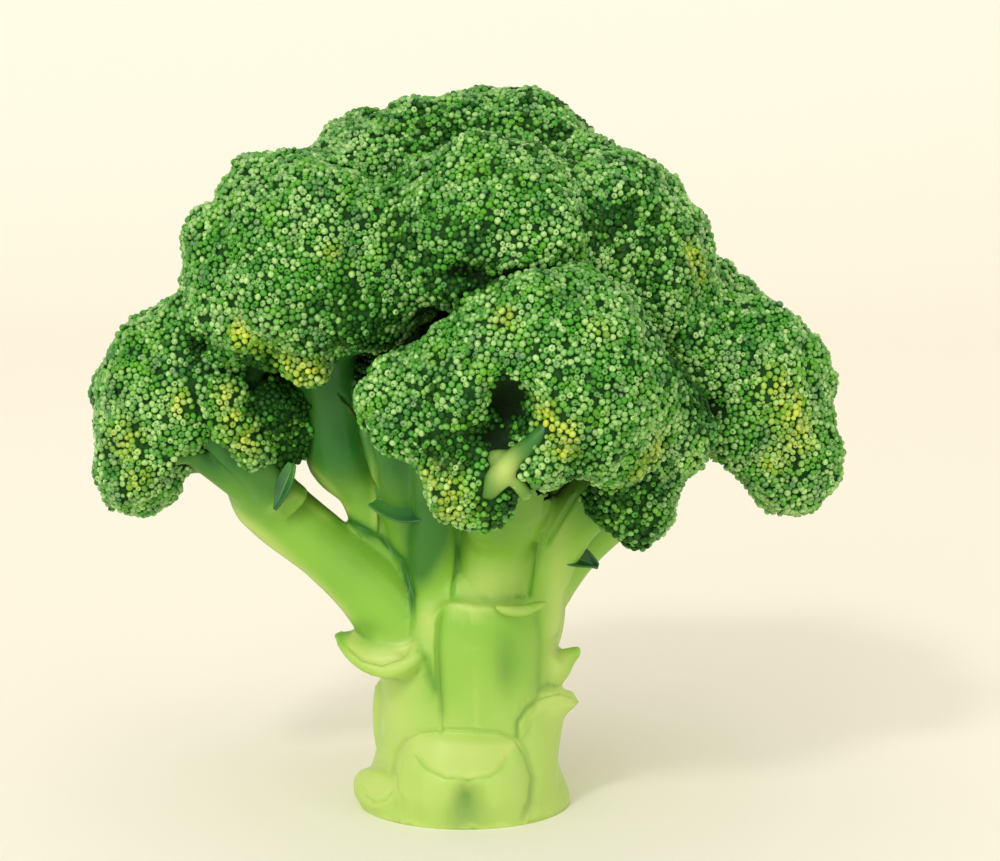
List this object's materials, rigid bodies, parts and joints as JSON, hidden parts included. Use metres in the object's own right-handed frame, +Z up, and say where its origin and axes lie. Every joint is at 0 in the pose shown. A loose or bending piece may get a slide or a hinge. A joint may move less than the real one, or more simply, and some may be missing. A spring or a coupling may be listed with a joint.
{
  "type": "broccoli head",
  "caption": "Head of fresh broccoli standing upright on its thick cut stalk, with a spreading crown of domed florets covered in small buds.",
  "frame": {"origin": "middle of the flat cut face that the stalk stands on", "axes": "+Z up along the stalk from its cut face to the crown, -Y towards the front of the head, +X to the front's right and along the widest spread of the crown"},
  "size_m": [0.158, 0.1352, 0.1519],
  "materials": {
    "stalk": "satin",
    "buds": "matte"
  },
  "bodies": {
    "root": {"stalk": "stalk", "floret_front": "buds", "floret_front_left": "buds", "floret_front_low": "buds", "floret_front_right": "buds", "floret_front_tail": "buds", "floret_centre": "buds", "floret_left_upper": "buds", "floret_left_low": "buds", "floret_left_inner": "buds", "floret_top_left": "buds", "floret_top": "buds", "floret_right_upper": "buds", "floret_right_low": "buds", "floret_back_left": "buds", "floret_back_right": "buds", "floret_back": "buds", "floret_back_upper_left": "buds", "floret_back_upper_right": "buds", "floret_back_low_left": "buds", "floret_back_low_right": "buds"}
  },
  "joints": []
}
